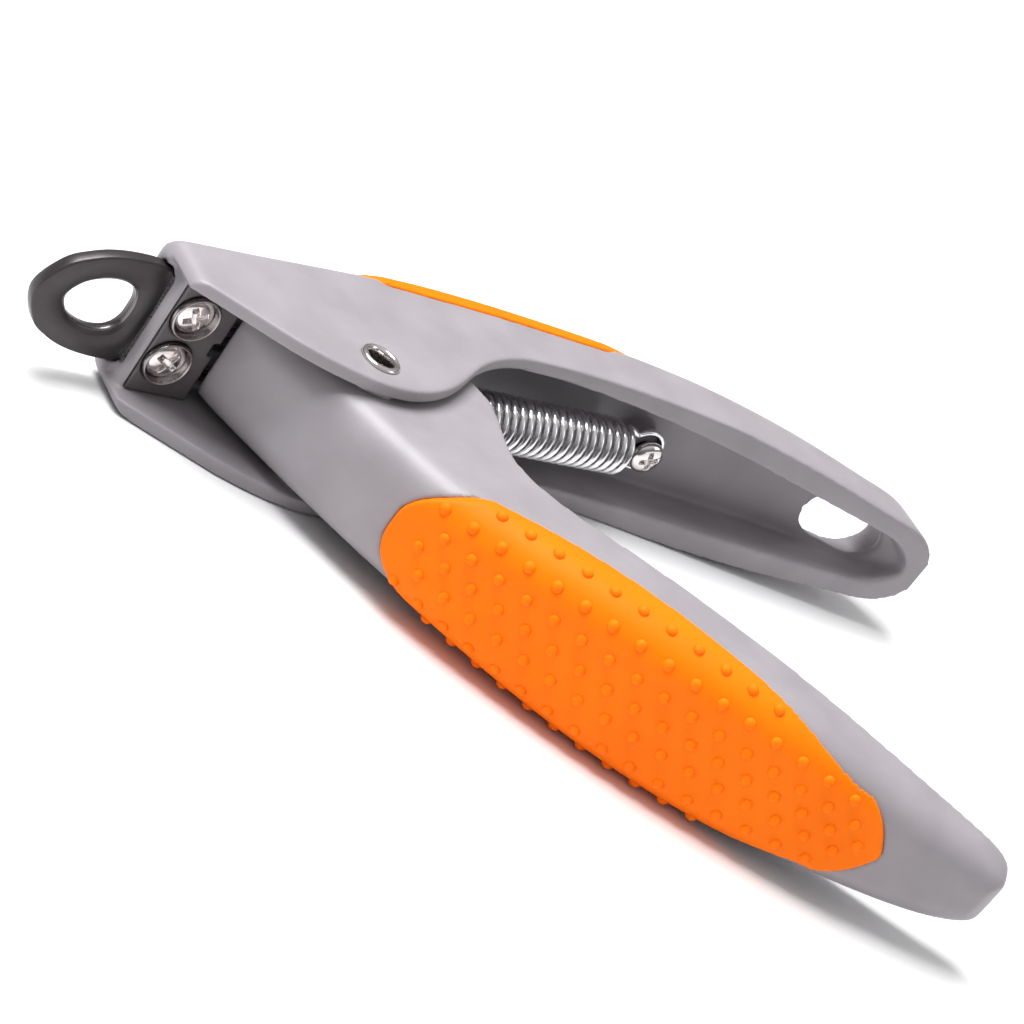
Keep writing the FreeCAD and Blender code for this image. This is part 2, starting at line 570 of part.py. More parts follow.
def lever_block(prefix, grow):
    """The lever's outer form, drawn along its own length and grown outwards by a small amount."""
    loft = handle_loft(prefix + "Loft", LEVER_STATIONS, -1, size["lever_fillet"], grow)
    side = outline(prefix + "Side", SIDE, [
        ("line", (-16.7, 1.0), (-16.7, -24), (96, -24)),
        ("spline", (96, -24), (97.4, -9.4), (100.1, -5.8), (102.2, -2.6), LEVER_RIM[0]),
        ("spline", *LEVER_RIM),
        ("line", LEVER_RIM[-1], (-0.6, 12.9)),
        ("arc", (-0.6, 12.9), (-4.9, 11.94), (-9.0, 9.26)),
        ("line", (-9.0, 9.26), (-11.6, 6.2), (-16.7, 1.0)),
    ])
    return common(prefix + "Form", loft, extrude(prefix + "SideSolid", side, -5, 30))


def lever_core():
    """The channel inside the lever."""
    side = outline("LeverCoreSide", SIDE, [
        ("spline", (-14.6, 0.0), (-10.5, -2.2), (-3.4, -4.9), (9.6, -9.1), (20.4, -11.6),
         (35, -13.0), (50, -13.0), (64.6, -11.6), (76.4, -9.6), (87.4, -7.5), (94.8, -5.6),
         (98.9, -3.2), (100.2, 0.6)),
        ("line", (100.2, 0.6), (100.2, 20), (-14.6, 20), (-14.6, 0.0)),
    ])
    upper = [(ps - (WALL if pz < 7 else 0), MID + max(pz - WALL, 0)) for ps, pz in LEVER_TOP[:-1]]
    upper.append((100.2, MID))
    low_edge = mirrored(upper)
    top = outline("LeverCoreTop", TOP, [
        ("line", (-40, upper[0][1]), upper[0]),
        ("bend", *upper, *low_edge[1:]),
        ("line", low_edge[-1], (-40, low_edge[-1][1]), (-40, upper[0][1])),
    ])
    return common("LeverCore", extrude("LeverCoreSideSolid", side, -5, 30),
                  extrude("LeverCoreTopSolid", top, -FAR, FAR))


def make_lever():
    form = lever_block("Lever", 0.0)
    skin = cut("LeverSkin", lever_block("LeverGripOuter", size["grip_proud"]),
               lever_block("LeverGripInner", -size["grip_sunk"]))
    lens = saddle("LeverSaddle", [
        ("line", (11, -40), (11, -11.3)),
        ("spline", (11, -11.3), (15, -10.9), (22, -9.6), (31, -8.3), (42, -8.0), (52, -8.9), (62, -10.4),
         (72, -11.6), (86, -9.0)),
        ("line", (86, -9.0), (86, -40), (11, -40)),
    ], [
        ("spline", (12.6, MID), (13.5, MID + 4), (16.6, MID + 6.8), (28, MID + 10.9),
         (50, MID + 13.5), (68, MID + 11), (82, MID + 5.5), (86, MID)),
        ("spline", (86, MID), (82, MID - 5.5), (68, MID - 11), (50, MID - 13.5),
         (28, MID - 10.9), (16.6, MID - 6.8), (13.5, MID - 4), (12.6, MID)),
    ])
    grip_seat = common("LeverGripSeat", skin, lens)
    finish("lever_grip", common("LeverGrip", skin, lens), turned=True)

    shell = cut("LeverShell", form, lever_core())
    half = "Sizes.lever_width / 2"
    hub = cylinder("LeverHub", "Sizes.hub_radius", f"Sizes.head_width / 2 - {half}",
                   f"Sizes.head_width / 2 + {half}", "z", ("0", "0"))
    finger_box = box("FingerBlank", ("0", "-Sizes.finger_thick / 2",
                                     "Sizes.head_width / 2 - Sizes.finger_width / 2"),
                     ("Sizes.finger_reach", "Sizes.finger_thick / 2",
                      "Sizes.head_width / 2 + Sizes.finger_width / 2"))
    finger = round_edges("DriveFinger", finger_box, size["finger_thick"] * 0.45,
                         lambda edge, middle: middle.x > size["finger_reach"] - 0.01
                         and abs(middle.z - MID) < 0.01)
    finger.Placement = FreeCAD.Placement(V(0, 0, 0), FreeCAD.Rotation(Z_AXIS, 0))
    bind(finger, Placement__Rotation__Angle="(Sizes.finger_angle - Sizes.lever_angle) * 1 deg")
    solid = fuse("LeverSolid", shell, hub, finger)
    along = math.radians(-size["lever_angle"])
    pin_s = size["pin_x"] * math.cos(along) - size["pin_y"] * math.sin(along)
    pin_t = size["pin_x"] * math.sin(along) + size["pin_y"] * math.cos(along)
    pivot_bore = cylinder("LeverBore", "Sizes.pivot_shank + Sizes.running_gap", "-5", "30", "z",
                          ("0", "0"))
    pin_bore = cylinder("PinBore", "Sizes.pin_radius", "-5", "30", "z", (str(pin_s), str(pin_t)))
    bored = cut("LeverBored", solid, fuse("LeverBores", pivot_bore, pin_bore))
    finish("lever_handle", cut("LeverHandle", bored, grip_seat), turned=True)

    pin = cylinder("SpringPinRod", "Sizes.pin_radius", f"Sizes.head_width / 2 - {half}",
                   f"Sizes.head_width / 2 + {half}", "z", ("Sizes.pin_x", "Sizes.pin_y"))
    finish("spring_pin", chamfer_edges("SpringPin", pin, 0.2, lambda edge, middle: True))


# ---------------------------------------------------------------- return spring

def make_spring():
    """The return spring: its coil as a tube, with a wire loop at each end."""
    radius, wire = size["spring_radius"], size["wire"]
    pin = V(size["pin_x"], size["pin_y"], MID)
    anchor = V(size["anchor_x"], size["anchor_seat"] - 0.5, MID)
    along = (anchor - pin).normalize()
    start = pin + along * 6.0
    length = (anchor - pin).Length - 6.0 - 5.6
    coil = Part.makeCylinder(radius, length, start, along)
    hollow = Part.makeCylinder(radius - wire, length, start, along)
    tube = coil.cut(hollow)
    loops = []
    for centre, mean, axis, reach in ((pin, size["pin_radius"] + wire / 2 + 0.02, Z_AXIS, along),
                                      (anchor, size["anchor_shank"] + wire / 2 + 0.02, Y_AXIS,
                                       along * -1)):
        ring = Part.makeTorus(mean, wire / 2, centre, axis)
        side = axis.cross(reach).normalize()
        foot = centre + side * mean
        top = centre + reach * (6.2 if reach.x > 0 else 5.8) + side * (radius - wire / 2)
        stem = Part.makeCylinder(wire / 2, (top - foot).Length, foot, top - foot)
        loops += [ring, stem]
    solid = tube.multiFuse(loops)
    spring = doc.addObject("Part::Feature", "ReturnSpring")
    spring.Shape = solid
    spring.Placement = FreeCAD.Placement()
    finish("return_spring", spring)


make_frame()
make_ring()
make_blade()
make_keeper()
make_cups()
make_screws()
make_pivot()
make_lever()
make_spring()

doc.recompute()
for obj in doc.Objects:
    if "Invalid" in obj.State or "Error" in obj.State:
        raise ValueError(f"{obj.Name} failed: {obj.State}")
os.makedirs("parts", exist_ok=True)
for node, solid in parts.items():
    shape = solid.Shape
    if shape.isNull() or not shape.isValid() or not shape.Solids:
        raise ValueError(f"{node} has no valid solid")
    shape.exportStep(f"parts/{node}.step")
    bounds = shape.optimalBoundingBox(False)
    print(f"{node:22s} solids {len(shape.Solids)} volume {shape.Volume:9.1f}  "
          f"x {bounds.XMin:7.2f} {bounds.XMax:7.2f}  y {bounds.YMin:7.2f} {bounds.YMax:7.2f}  "
          f"z {bounds.ZMin:6.2f} {bounds.ZMax:6.2f}")
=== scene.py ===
import math

import bmesh
import bpy
from mathutils import Matrix, Vector
from mathutils.bvhtree import BVHTree


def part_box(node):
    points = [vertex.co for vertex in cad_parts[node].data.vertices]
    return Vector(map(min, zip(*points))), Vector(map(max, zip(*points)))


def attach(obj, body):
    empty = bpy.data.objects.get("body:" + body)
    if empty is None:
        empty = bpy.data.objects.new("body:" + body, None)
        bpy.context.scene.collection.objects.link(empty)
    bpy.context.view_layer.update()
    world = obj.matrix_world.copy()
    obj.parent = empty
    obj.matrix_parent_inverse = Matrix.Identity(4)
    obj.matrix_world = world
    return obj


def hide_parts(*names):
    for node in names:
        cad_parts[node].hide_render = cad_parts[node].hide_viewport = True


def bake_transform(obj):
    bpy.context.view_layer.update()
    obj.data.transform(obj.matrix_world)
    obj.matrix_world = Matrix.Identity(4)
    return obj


# Guillotine nail trimmer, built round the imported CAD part. Its pieces are in metres, in the part's
# own frame. "Working" points are millimetres from the pivot: +X from the ring towards the handles,
# +Y towards the fixed handle's back, +Z up from the table.

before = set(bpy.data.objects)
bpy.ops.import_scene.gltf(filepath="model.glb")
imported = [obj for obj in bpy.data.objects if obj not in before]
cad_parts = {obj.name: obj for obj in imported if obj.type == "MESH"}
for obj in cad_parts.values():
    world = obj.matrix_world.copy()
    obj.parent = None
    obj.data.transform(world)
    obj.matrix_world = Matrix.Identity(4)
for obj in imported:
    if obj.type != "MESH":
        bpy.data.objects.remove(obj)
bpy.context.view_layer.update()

MM = 0.001
rivet_low, rivet_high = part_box("pivot_rivet")
PIVOT = Vector(((rivet_low.x + rivet_high.x) / 2, (rivet_low.y + rivet_high.y) / 2, 0.0))
MID = 11.0                            # height of the plane that halves the trimmer
LEVER_ANGLE = math.radians(-44.0)     # direction of the open lever, turned from +X
REARWARD, UP, INTO_LEVER = Vector((1, 0, 0)), Vector((0, 0, 1)), Vector((0, -1, 0))


def at(x, y, z):
    """A working point, as a place in the part's frame."""
    return PIVOT + Vector((x, y, z)) * MM


def on_lever(along, across, z):
    """A working point from millimetres along and across the open lever."""
    c, s = math.cos(LEVER_ANGLE), math.sin(LEVER_ANGLE)
    return Vector((along * c - across * s, along * s + across * c, z))


# ---------------------------------------------------------------- materials

def main_shader(mat):
    """The material's principled shader."""
    return next(n for n in mat.node_tree.nodes if n.type == "BSDF_PRINCIPLED")


def link(tree, source, out, target, into):
    """Join one node's output to another node's input."""
    tree.links.new(source.outputs[out], target.inputs[into])


def noise_node(tree, scale, detail, stretch=(1, 1, 1)):
    """A noise texture in the piece's own coordinates, stretched along an axis if asked."""
    coords = tree.nodes.new("ShaderNodeTexCoord")
    mapping = tree.nodes.new("ShaderNodeMapping")
    mapping.inputs["Scale"].default_value = stretch
    noise = tree.nodes.new("ShaderNodeTexNoise")
    noise.inputs["Scale"].default_value = scale
    noise.inputs["Detail"].default_value = detail
    link(tree, coords, "Object", mapping, "Vector")
    link(tree, mapping, "Vector", noise, "Vector")
    return noise


def ramp_node(tree, source, low, high, dark, light):
    """Colours from dark to light over the source's values low to high."""
    ramp = tree.nodes.new("ShaderNodeValToRGB")
    ramp.color_ramp.elements[0].position = low
    ramp.color_ramp.elements[0].color = (*dark, 1)
    ramp.color_ramp.elements[1].position = high
    ramp.color_ramp.elements[1].color = (*light, 1)
    link(tree, source, "Fac", ramp, "Fac")
    return ramp


def range_node(tree, source, low, high):
    """The middle of the source's range, spread over low to high."""
    spread = tree.nodes.new("ShaderNodeMapRange")
    spread.inputs["From Min"].default_value = 0.3
    spread.inputs["From Max"].default_value = 0.7
    spread.inputs["To Min"].default_value = low
    spread.inputs["To Max"].default_value = high
    link(tree, source, "Fac", spread, "Value")
    return spread


def bump_node(tree, source, strength, distance, before=None):
    """A relief from the source, laid over an earlier bump if there is one."""
    bump = tree.nodes.new("ShaderNodeBump")
    bump.inputs["Strength"].default_value = strength
    bump.inputs["Distance"].default_value = distance
    link(tree, source, "Fac", bump, "Height")
    if before is not None:
        link(tree, before, "Normal", bump, "Normal")
    return bump


def surface(name, dark, light, rough, grain, depth, metal=0.0, stretch=(1, 1, 1), mottle=130.0,
            wave=0.0, shine=0.5):
    """A material with mottled colour, uneven gloss and a fine grain, at the given scales."""
    mat = bpy.data.materials.new(name)
    mat.use_nodes = True
    tree, shader = mat.node_tree, main_shader(mat)
    patches = noise_node(tree, mottle, 4.0)
    link(tree, ramp_node(tree, patches, 0.35, 0.65, dark, light), "Color", shader, "Base Color")
    fine = noise_node(tree, grain, 6.0, stretch)
    link(tree, range_node(tree, fine, *rough), "Result", shader, "Roughness")
    soft = bump_node(tree, noise_node(tree, 260.0, 2.0), wave, 0.00015) if wave else None
    link(tree, bump_node(tree, fine, 0.5, depth, soft), "Normal", shader, "Normal")
    shader.inputs["Metallic"].default_value = metal
    shader.inputs["Specular IOR Level"].default_value = shine
    return mat


GRAY = surface("gray_moulded", dark=(0.262, 0.242, 0.260), light=(0.296, 0.274, 0.294),
               rough=(0.36, 0.50), grain=5200.0, depth=0.000030, wave=0.05)
# The keeper plate's colour: much darker than the handles' gray.
KEEPER_DARK_TONE = surface("keeper_dark_tone", dark=(0.080, 0.070, 0.073), light=(0.100, 0.088, 0.092),
               rough=(0.34, 0.46), grain=5200.0, depth=0.000030, wave=0.05)
ORANGE = surface("orange_rubber", dark=(0.96, 0.172, 0.001), light=(1.0, 0.190, 0.001),
                 rough=(0.44, 0.58), grain=4200.0, depth=0.000045, mottle=90.0, wave=0.08,
                 shine=0.10)
BRIGHT = surface("bright_plate", dark=(0.66, 0.62, 0.61), light=(0.76, 0.72, 0.71),
                 rough=(0.08, 0.20), grain=3500.0, depth=0.000010, metal=1.0)
SPRING = surface("spring_wire", dark=(0.70, 0.69, 0.70), light=(0.82, 0.81, 0.82),
                 rough=(0.12, 0.26), grain=4500.0, depth=0.000014, metal=1.0)
RING_STEEL = surface("ring_steel", dark=(0.048, 0.042, 0.045), light=(0.064, 0.057, 0.060),
                     rough=(0.28, 0.42), grain=2600.0, depth=0.000016, metal=0.6,
                     stretch=(1, 6, 0.4))
# Shinier steel for the ring opening's lip; its much lighter colour than the ring is a painted
# highlight on the rounded edge.
LIP_HIGHLIGHT_STEEL = surface("lip_painted_highlight", dark=(0.17, 0.155, 0.155), light=(0.24, 0.22, 0.22),
                     rough=(0.20, 0.34), grain=3000.0, depth=0.000012, metal=1.0,
                     stretch=(6, 1, 1))
WASHER_STEEL = surface("washer_steel", dark=(0.26, 0.24, 0.24), light=(0.36, 0.33, 0.33),
                       rough=(0.14, 0.28), grain=3500.0, depth=0.000010, metal=1.0)
BLADE_STEEL = surface("blade_steel", dark=(0.52, 0.51, 0.52), light=(0.62, 0.61, 0.62),
                      rough=(0.20, 0.34), grain=2600.0, depth=0.000014, metal=1.0,
                      stretch=(0.3, 1, 8))


# ---------------------------------------------------------------- mesh helpers

def placed(name, data):
    """A new object in the scene."""
    obj = bpy.data.objects.new(name, data)
    bpy.context.scene.collection.objects.link(obj)
    return obj


def new_piece(name, verts, faces, materials, body, slot, node):
    """A mesh piece from points in the part's frame, riding a body and standing for a CAD node."""
    mesh = bpy.data.meshes.new(name)
    mesh.from_pydata([tuple(v) for v in verts], [], faces)
    mesh.validate()
    for mat in materials:
        mesh.materials.append(mat)
    mesh.shade_smooth()
    obj = placed(name, mesh)
    settle(obj, body, node)
    return obj


def settle(obj, body, node):
    """Hide the CAD node that obj stands for, and let obj ride its body if it has one."""
    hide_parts(node)
    if body:
        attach(obj, body)


def face_outwards(obj):
    """Turn every face of a closed mesh outwards."""
    work = bmesh.new()
    work.from_mesh(obj.data)
    bmesh.ops.recalc_face_normals(work, faces=work.faces)
    work.to_mesh(obj.data)
    work.free()


def repaint(node, mat):
    """Give a CAD node that is shown as it is its own material."""
    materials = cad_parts[node].data.materials
    materials.clear()
    materials.append(mat)


def applied(obj):
    """Turn the modifiers of obj into its mesh."""
    graph = bpy.context.evaluated_depsgraph_get()
    mesh = bpy.data.meshes.new_from_object(obj.evaluated_get(graph))
    obj.modifiers.clear()
    old, obj.data = obj.data, mesh
    bpy.data.meshes.remove(old)
    mesh.shade_smooth()


def moulded(name, node, voxel, rounds, mat, body):
    """The node's form as one moulded skin: remeshed at voxel millimetres, its edges eased."""
    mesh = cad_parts[node].data.copy()
    mesh.materials.clear()
    mesh.materials.append(mat)
    obj = placed(name, mesh)
    work = bmesh.new()
    work.from_mesh(mesh)
    bmesh.ops.remove_doubles(work, verts=work.verts, dist=1e-6)
    work.to_mesh(mesh)
    work.free()
    remesh = obj.modifiers.new("skin", "REMESH")
    remesh.mode = "VOXEL"
    remesh.voxel_size = voxel * MM
    remesh.use_smooth_shade = True
    ease = obj.modifiers.new("ease", "SMOOTH")
    ease.factor = 0.5
    ease.iterations = rounds
    applied(obj)
    settle(obj, body, node)
    return obj


def frames_along(points):
    """Two directions across a path at each of its points, turned as little as possible."""
    tangents = [(points[min(i + 1, len(points) - 1)] - points[max(i - 1, 0)]).normalized()
                for i in range(len(points))]
    side = tangents[0].orthogonal().normalized()
    out = []
    for tangent in tangents:
        side = (side - tangent * side.dot(tangent)).normalized()
        out.append((side, tangent.cross(side)))
    return out


def tube(points, radius, around=12):
    """Vertices and faces of a round wire along points, closed at both ends."""
    verts, faces = [], []
    for point, (side, up) in zip(points, frames_along(points)):
        for k in range(around):
            turn = 2 * math.pi * k / around
            verts.append(point + (side * math.cos(turn) + up * math.sin(turn)) * radius)
    for i in range(len(points) - 1):
        for k in range(around):
            a, b = i * around + k, i * around + (k + 1) % around
            faces.append((a, b, b + around, a + around))
    faces.append(tuple(reversed(range(around))))
    faces.append(tuple(range(len(verts) - around, len(verts))))
    return verts, faces


def lathe(profile, origin, axis, across, around=64):
    """A closed ring of revolution: profile holds (radius, height) pairs in millimetres."""
    third = axis.cross(across)
    verts, faces = [], []
    for r, h in profile:
        for k in range(around):
            turn = 2 * math.pi * k / around
            out = across * math.cos(turn) + third * math.sin(turn)
            verts.append(origin + (axis * h + out * r) * MM)
    count = len(profile)
    for i in range(count):
        for k in range(around):
            a, b = i * around + k, i * around + (k + 1) % around
            c, d = ((i + 1) % count) * around + (k + 1) % around, ((i + 1) % count) * around + k
            faces.append((a, b, c, d))
    return verts, faces


def between(p0, p1, p2, p3, steps):
    """Points from p1 up to p2 on the Catmull-Rom curve through all four."""
    out = []
    for k in range(steps):
        t = k / steps
        out.append(0.5 * ((2 * p1) + (p2 - p0) * t + (2 * p0 - 5 * p1 + 4 * p2 - p3) * t * t
                          + (3 * p1 - p0 - 3 * p2 + p3) * t ** 3))
    return out


def bend(points, steps):
    """A smooth curve through points, from the first to the last."""
    out = []
    for i in range(len(points) - 1):
        out += between(points[max(i - 1, 0)], points[i], points[i + 1],
                       points[min(i + 2, len(points) - 1)], steps)
    return out + [points[-1]]


# ---------------------------------------------------------------- handles

HANDLE_VOXEL, HANDLE_ROUNDS = 0.28, 14
KEEPER_VOXEL, KEEPER_ROUNDS = 0.16, 4
GRIP_VOXEL, GRIP_ROUNDS = 0.22, 8
moulded("fixed_handle", "frame_handle", HANDLE_VOXEL, HANDLE_ROUNDS, GRAY, "frame")
moulded("squeeze_lever", "lever_handle", HANDLE_VOXEL, HANDLE_ROUNDS, GRAY, "lever")
moulded("keeper_plate", "blade_keeper", KEEPER_VOXEL, KEEPER_ROUNDS, KEEPER_DARK_TONE, "frame")

STUD_RADIUS, STUD_HEIGHT, STUD_SINK = 0.80, 0.62, 0.06     # millimetres, as all sizes below
STUD_RINGS, STUD_AROUND = 6, 18
STUD_MARGIN = 1.4        # the skin is probed this far round a stud, so that none hangs over an edge
STUD_STEP = 2.2          # the furthest that a probe may land from the stud's foot
STUD_FACING = -0.55      # a stud needs skin that faces its ray at least this squarely
STUD_PITCH, STUD_TURN = 4.1, 15.5        # millimetres along the handle, degrees round it
STUD_FROM = 30           # how far out the rays start


def on_skin(skin, origin, direction):
    """Where a ray meets the grip and the normal there, or nothing too near the grip's edge."""
    hit, normal, _, _ = skin.ray_cast(origin, direction)
    if hit is None or normal.dot(direction) > STUD_FACING:
        return None
    across = direction.orthogonal().normalized()
    for probe in (across, -across, across.cross(direction), direction.cross(across)):
        spot = skin.ray_cast(origin + probe * STUD_MARGIN * MM, direction)[0]
        if spot is None or (spot - hit).length > STUD_STEP * MM:
            return None
    return hit, normal


def add_stud(work, hit, normal):
    """A domed stud that stands on the skin at hit, sunk a little into it."""
    radius, height, sink = STUD_RADIUS * MM, STUD_HEIGHT * MM, STUD_SINK * MM
    side = normal.orthogonal().normalized()
    up = normal.cross(side)
    loops = []
    for ring in range(STUD_RINGS):
        tilt = math.pi / 2 * ring / STUD_RINGS
        reach, lift = radius * math.cos(tilt), height * math.sin(tilt) - sink
        loops.append([
            work.verts.new(hit + normal * lift
                           + (side * math.cos(2 * math.pi * k / STUD_AROUND)
                              + up * math.sin(2 * math.pi * k / STUD_AROUND)) * reach)
            for k in range(STUD_AROUND)])
    crown = work.verts.new(hit + normal * (height - sink))
    for low, high in zip(loops, loops[1:]):
        for k in range(STUD_AROUND):
            n = (k + 1) % STUD_AROUND
            work.faces.new((low[k], low[n], high[n], high[k]))
    for k in range(STUD_AROUND):
        work.faces.new((loops[-1][k], loops[-1][(k + 1) % STUD_AROUND], crown))


def studded(name, node, body, rows):
    """A soft grip with domed studs: rows holds (outside point, inward direction) pairs."""
    grip = moulded(name, node, GRIP_VOXEL, GRIP_ROUNDS, ORANGE, body)
    grip.parent = None
    skin = BVHTree.FromObject(grip, bpy.context.evaluated_depsgraph_get())
    work = bmesh.new()
    work.from_mesh(grip.data)
    for origin, direction in rows:
        place = on_skin(skin, origin, direction)
        if place:
            add_stud(work, *place)
    for face in work.faces:
        face.smooth = True
    work.to_mesh(grip.data)
    work.free()
    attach(grip, body)


def on_frame(x, y, z):
    """A point in the fixed handle's directions, which are the working ones."""
    return Vector((x, y, z))


def stud_rows(to_working, start, stop, side_rows, towards, heart):
    """Rays for staggered rows of studs: from outside the handle's back towards its middle line.

    The rows run from start to stop along the handle, side_rows of them on each side of the one in
    the middle. heart is how far the middle line lies across the handle, and towards is the side
    that its back is on."""
    rows = []
    for number in range(-side_rows, side_rows + 1):
        turn = math.radians(STUD_TURN * number)
        along = start + (STUD_PITCH / 2 if number % 2 else 0.0)
        while along < stop:
            middle = to_working(along, heart, MID)
            outside = to_working(along, heart + towards * STUD_FROM * math.cos(turn),
                                 MID + STUD_FROM * math.sin(turn))
            rows.append((at(*outside), (middle - outside).normalized()))
            along += STUD_PITCH
    return rows


studded("lever_grip_pad", "lever_grip", "lever",
        stud_rows(on_lever, start=17.0, stop=84.0, side_rows=6, towards=-1, heart=-3.2))
studded("handle_grip_pad", "frame_grip", "frame",
        stud_rows(on_frame, start=1.0, stop=62.0, side_rows=2, towards=1, heart=9.5))


# ---------------------------------------------------------------- cutting head

RING_FACE, RING_BACK = 14.3, 16.1
OPENING_MIDDLE = Vector((-29.8, 0.0))
RING_POINTS = 160


def both_sides(start, half, end):
    """A closed outline from its upper half: start and end lie on the middle plane."""
    return [start, *half, end, *((x, -z) for x, z in reversed(half))]


def closed_curve(points):
    """RING_POINTS points at even angles round a closed outline, seen from the opening's middle."""
    corners = [Vector((x, z)) for x, z in points]
    dense = []
    for i in range(len(corners)):
        dense += between(*(corners[(i + n) % len(corners)] for n in range(4)), steps=24)
    found = []
    for k in range(RING_POINTS):
        turn = 2 * math.pi * k / RING_POINTS
        ray = Vector((math.cos(turn), math.sin(turn)))
        furthest = 0.0
        for a, b in zip(dense, dense[1:] + dense[:1]):
            edge, rel = b - a, a - OPENING_MIDDLE
            cross = ray.x * edge.y - ray.y * edge.x
            if abs(cross) < 1e-12:
                continue
            reach = (rel.x * edge.y - rel.y * edge.x) / cross
            share = (rel.x * ray.y - rel.y * ray.x) / cross
            if -1e-6 <= share <= 1 + 1e-6:
                furthest = max(furthest, reach)
        found.append(OPENING_MIDDLE + ray * furthest)
    return found


outer = closed_curve(both_sides((-13.9, 0), [
    (-14.0, 5.6), (-14.6, 7.0), (-18.5, 7.1), (-21.8, 7.1), (-25.8, 7.75), (-30.6, 7.45),
    (-34.2, 6.35), (-37.3, 4.35)], (-39.4, 0)))
inner = closed_curve(both_sides((-34.7, 0), [
    (-33.6, 2.1), (-31.6, 3.3), (-29.2, 3.8), (-27.0, 3.4), (-25.8, 2.1)], (-25.4, 0)))


def ring_loop(mix, y, inset=0.0):
    """A loop on the outline (mix 0) or round the opening (mix 1), moved in towards the opening."""
    loop = []
    for rim, lip in zip(outer, inner):
        across = lip - rim
        p = rim + across * (mix + inset / across.length)
        loop.append(at(p.x, y, MID + p.y))
    return loop


# Once round the ring's section: down the rim, across the face, through the opening, over the back.
ring_loops = [ring_loop(0, RING_BACK - 0.25), ring_loop(0, RING_FACE + 0.25),
              ring_loop(0, RING_FACE + 0.07, 0.08), ring_loop(0, RING_FACE, 0.28),
              ring_loop(1, RING_FACE, -0.74), ring_loop(1, RING_FACE + 0.05, -0.66),
              ring_loop(1, RING_FACE + 0.40, -0.24), ring_loop(1, RING_FACE + 0.52, -0.10),
              ring_loop(1, RING_FACE + 0.72, 0.0), ring_loop(1, RING_BACK - 0.1, -0.05),
              ring_loop(1, RING_BACK, -0.2), ring_loop(0, RING_BACK, 0.28),
              ring_loop(0, RING_BACK - 0.07, 0.08)]
HIGHLIGHT_BANDS = (6, 7)     # the faces that follow these loops are the opening's lip, coloured light as a painted highlight
ring_faces = []
for i in range(len(ring_loops)):
    j = (i + 1) % len(ring_loops)
    for k in range(RING_POINTS):
        n = (k + 1) % RING_POINTS
        ring_faces.append((i * RING_POINTS + k, i * RING_POINTS + n, j * RING_POINTS + n,
                           j * RING_POINTS + k))
ring = new_piece("cutting_ring_plate", [v for loop in ring_loops for v in loop], ring_faces,
                 [RING_STEEL, LIP_HIGHLIGHT_STEEL], "frame", "dark_steel", "cutting_ring")
for face in ring.data.polygons:
    face.material_index = 1 if face.index // RING_POINTS in HIGHLIGHT_BANDS else 0
face_outwards(ring)

repaint("cutter_blade", BLADE_STEEL)
for node in ("thrust_washer_lower", "thrust_washer_upper", "spring_pin"):
    repaint(node, BRIGHT)


# ---------------------------------------------------------------- screws and washers

RECESS_EDGE = 0.10       # width of the slope at the recess's edge
RECESS_DEPTH, RECESS_RISE = 1.05, 0.45    # depth in the middle, and how much less at the arms' ends
HEAD_ROUNDS, HEAD_AROUND = 34, 120


def screw_crown(r, turn, radius, height):
    """Height of a domed screw head at (r, turn), with its cross recess pressed in."""
    dome = height * (0.40 + 0.60 * math.sqrt(max(0.0, 1 - (r / radius) ** 2.6)))
    u, v = abs(r * math.cos(turn)), abs(r * math.sin(turn))
    arm, half = radius * 0.60, radius * (0.17 - 0.05 * r / radius)
    inside = -min(max(u - arm, v - half), max(v - arm, u - half))
    pressed = min(1.0, max(0.0, inside / RECESS_EDGE + 0.4))
    return dome - pressed * (RECESS_DEPTH - RECESS_RISE * r / arm)


def pan_screw(name, node, origin, radius, height, shank, tip, turn):
    """A cross-recess pan screw: its seat is centred on origin, and its head faces the lever."""
    across = Vector((math.cos(turn), 0, math.sin(turn)))
    third = INTO_LEVER.cross(across)
    turns = [2 * math.pi * n / HEAD_AROUND for n in range(HEAD_AROUND)]
    rows = []
    for k in range(1, HEAD_ROUNDS + 1):
        r = radius * k / HEAD_ROUNDS
        rows.append([(r, screw_crown(r, a, radius, height)) for a in turns])
    for below in ((radius, height * 0.14), (radius - 0.08, 0.03), (radius - 0.25, 0.0),
                  (shank, 0.0), (shank, 0.4 - tip), (shank - 0.35, -tip), (0.1, -tip)):
        rows.append([below] * HEAD_AROUND)
    verts, faces = [], []
    for row in rows:
        for a, (r, h) in zip(turns, row):
            out = across * math.cos(a) + third * math.sin(a)
            verts.append(origin + (INTO_LEVER * h + out * r) * MM)
    for i in range(len(rows) - 1):
        for n in range(HEAD_AROUND):
            a, b = i * HEAD_AROUND + n, i * HEAD_AROUND + (n + 1) % HEAD_AROUND
            faces.append((a, a + HEAD_AROUND, b + HEAD_AROUND, b))
    faces += [tuple(range(HEAD_AROUND)),
              tuple(reversed(range(len(verts) - HEAD_AROUND, len(verts))))]
    face_outwards(new_piece(name, verts, faces, [BRIGHT], "frame", "bright_steel", node))


SCREW_X, SCREW_SEAT, SCREW_OFFSET = -19.4, 12.1, 3.65
CUP = [(3.25, -0.35), (3.25, 1.9), (3.19, 2.02), (3.05, 2.05), (2.92, 2.0), (2.85, 1.9),
       (2.85, 0.05), (1.65, 0.0), (1.65, -0.35)]
for side, sign, turn in (("upper", 1, 0.5), ("lower", -1, 1.1)):
    seat = at(SCREW_X, SCREW_SEAT, MID + sign * SCREW_OFFSET)
    pan_screw(f"keeper_screw_{side}_detail", f"keeper_screw_{side}", seat, radius=2.7, height=1.7,
              shank=1.45, tip=5.2, turn=turn)
    new_piece(f"cup_washer_{side}_detail", *lathe(CUP, seat, INTO_LEVER, REARWARD),
              [WASHER_STEEL], "frame", "bright_steel", f"cup_washer_{side}")

